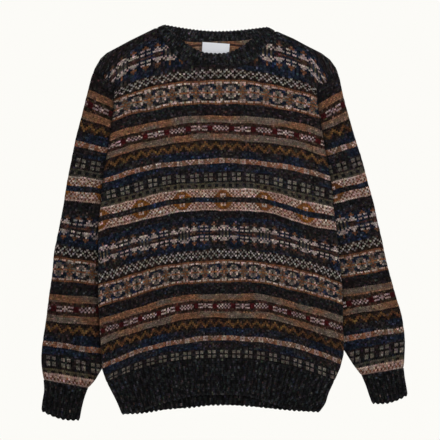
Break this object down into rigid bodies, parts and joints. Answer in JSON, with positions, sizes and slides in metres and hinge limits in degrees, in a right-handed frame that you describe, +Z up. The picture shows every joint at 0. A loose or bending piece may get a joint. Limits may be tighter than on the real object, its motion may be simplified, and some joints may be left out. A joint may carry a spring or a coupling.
{
  "type": "fair isle jumper",
  "caption": "Knitted crew-neck jumper with traditional patterned bands and ribbed edges, laid flat with its sleeves tucked behind the body.",
  "frame": {"origin": "middle of the laid-out jumper's outline, on the surface it lies on", "axes": "+Y from the hem towards the neck, +X across the body towards the picture's right sleeve, +Z up off the surface"},
  "size_m": [0.66, 0.7114, 0.0163],
  "materials": {
    "patterned_knit": "fuzzy heathered wool in patterned bands",
    "charcoal_rib": "fuzzy charcoal wool rib",
    "label_satin": "plain white woven satin"
  },
  "bodies": {
    "root": {"front": "patterned_knit", "back": "patterned_knit", "sleeve_left": "patterned_knit", "sleeve_right": "patterned_knit", "cuff_left": "charcoal_rib", "cuff_right": "charcoal_rib", "hem_front": "charcoal_rib", "hem_back": "charcoal_rib", "neckband": "charcoal_rib", "neck_label": "label_satin"}
  },
  "joints": []
}
